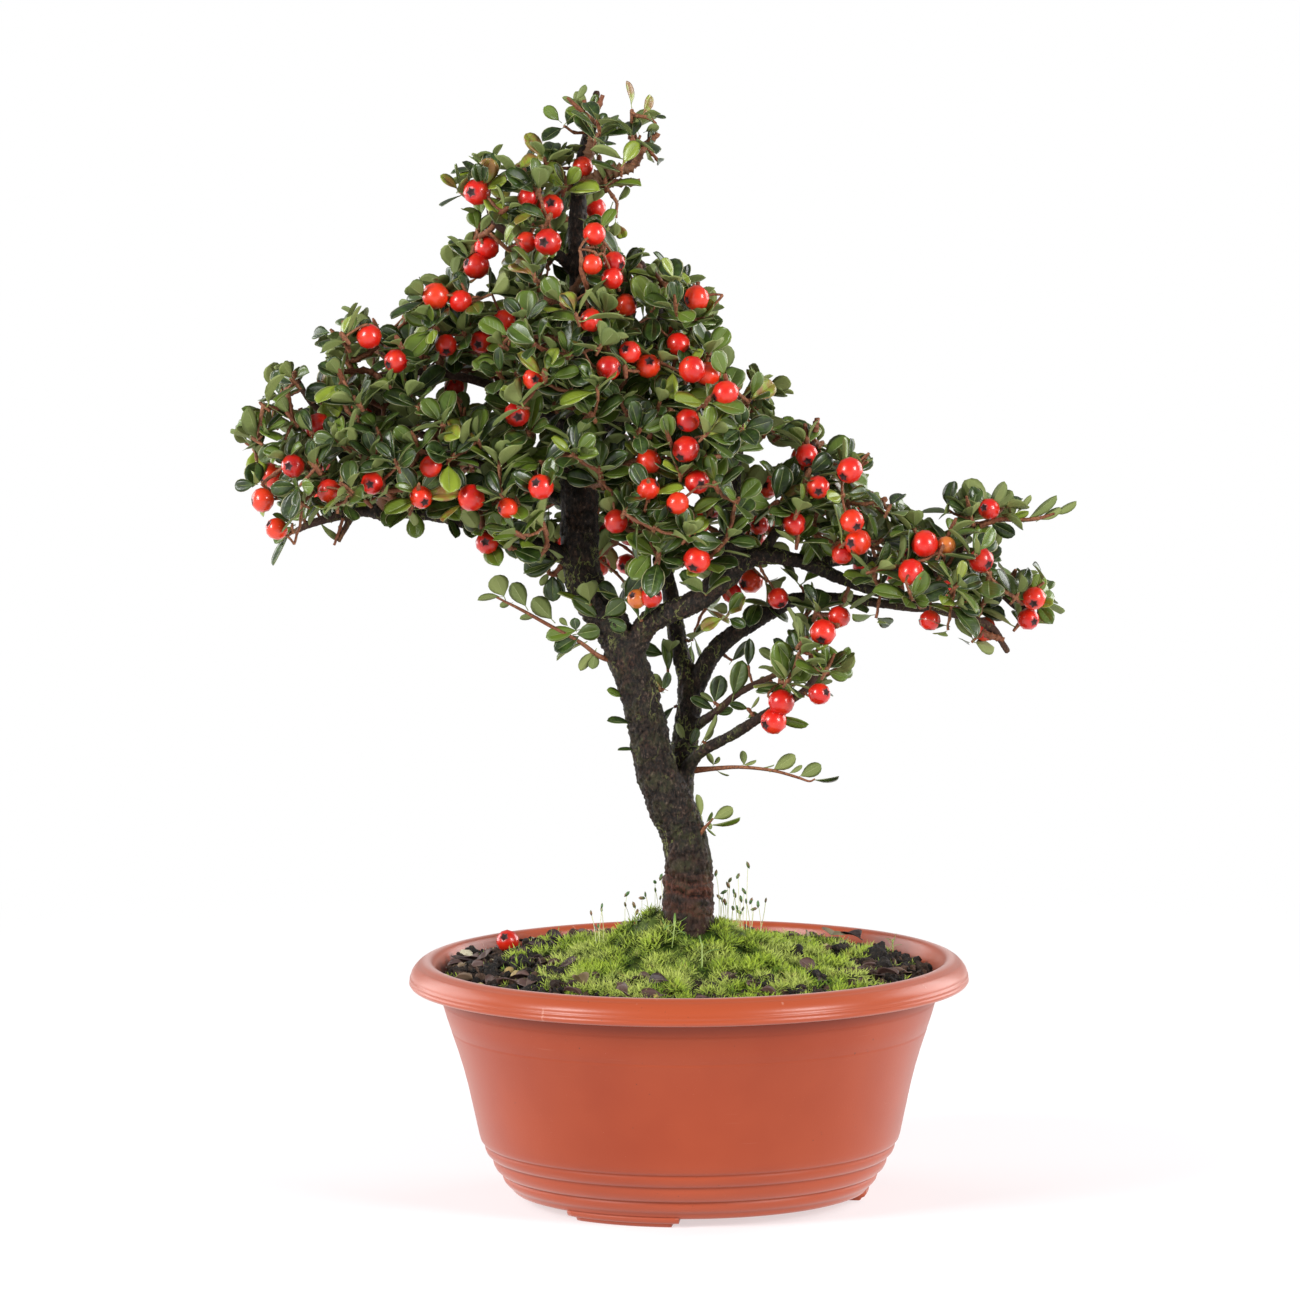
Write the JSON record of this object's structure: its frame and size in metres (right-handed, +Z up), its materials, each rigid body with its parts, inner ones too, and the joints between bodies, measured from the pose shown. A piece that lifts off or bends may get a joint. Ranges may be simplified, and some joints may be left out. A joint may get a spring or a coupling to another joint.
{
  "type": "cotoneaster bonsai",
  "caption": "Small berry-bearing cotoneaster trained as a leaning bonsai, with twin stems, a long left limb and a low right limb, in a round plastic bowl.",
  "frame": {"origin": "on the ground, under the middle of the bounding box of tree and bowl", "axes": "+Z up; +X to the right and -Y towards the viewer of the tree's front, whose long left limb reaches towards -X"},
  "size_m": [0.289, 0.19, 0.3818],
  "materials": {
    "bowl": "satin terracotta-coloured plastic",
    "soil": "dark crumbly soil with bark chips and pebbles",
    "moss": "bright green moss in small tufts",
    "bark": "dark fissured bark, green with algae at the foot",
    "leaves": "glossy dark green above, paler and matt below, with reddish twigs",
    "berries": "glossy scarlet skin"
  },
  "bodies": {
    "root": {"bowl": "bowl", "soil": "soil", "moss_mound": "moss", "fallen_berry": "berries", "trunk_and_branches": "bark", "apex_spray": "leaves", "apex_left_spray": "leaves", "upper_front_spray": "leaves", "upper_back_spray": "leaves", "top_right_front_spray": "leaves", "top_right_back_spray": "leaves", "left_crest_spray": "leaves", "left_top_front_spray": "leaves", "left_top_back_spray": "leaves", "left_tip_spray": "leaves", "left_low_front_spray": "leaves", "left_low_back_spray": "leaves", "left_inner_front_spray": "leaves", "left_inner_back_spray": "leaves", "centre_front_spray": "leaves", "centre_low_front_spray": "leaves", "centre_back_spray": "leaves", "centre_low_back_spray": "leaves", "low_left_spray": "leaves", "heart_front_spray": "leaves", "heart_back_spray": "leaves", "heart_low_front_spray": "leaves", "heart_low_back_spray": "leaves", "right_crest_spray": "leaves", "shoulder_front_spray": "leaves", "shoulder_back_spray": "leaves", "right_front_spray": "leaves", "right_back_spray": "leaves", "right_end_spray": "leaves", "right_top_spray": "leaves", "low_right_spray": "leaves", "low_left_shoot": "leaves", "low_right_shoot": "leaves", "trunk_sprout": "leaves", "right_tip_shoot": "leaves", "apex_shoot": "leaves", "berry_sprig_01": "berries", "berry_sprig_02": "berries", "berry_sprig_03": "berries", "berry_sprig_04": "berries", "berry_sprig_05": "berries", "berry_sprig_06": "berries", "berry_sprig_07": "berries", "berry_sprig_08": "berries", "berry_sprig_09": "berries", "berry_sprig_10": "berries", "berry_sprig_11": "berries", "berry_sprig_12": "berries", "berry_sprig_13": "berries", "berry_sprig_14": "berries", "berry_sprig_15": "berries", "berry_sprig_16": "berries", "berry_sprig_17": "berries"}
  },
  "joints": []
}
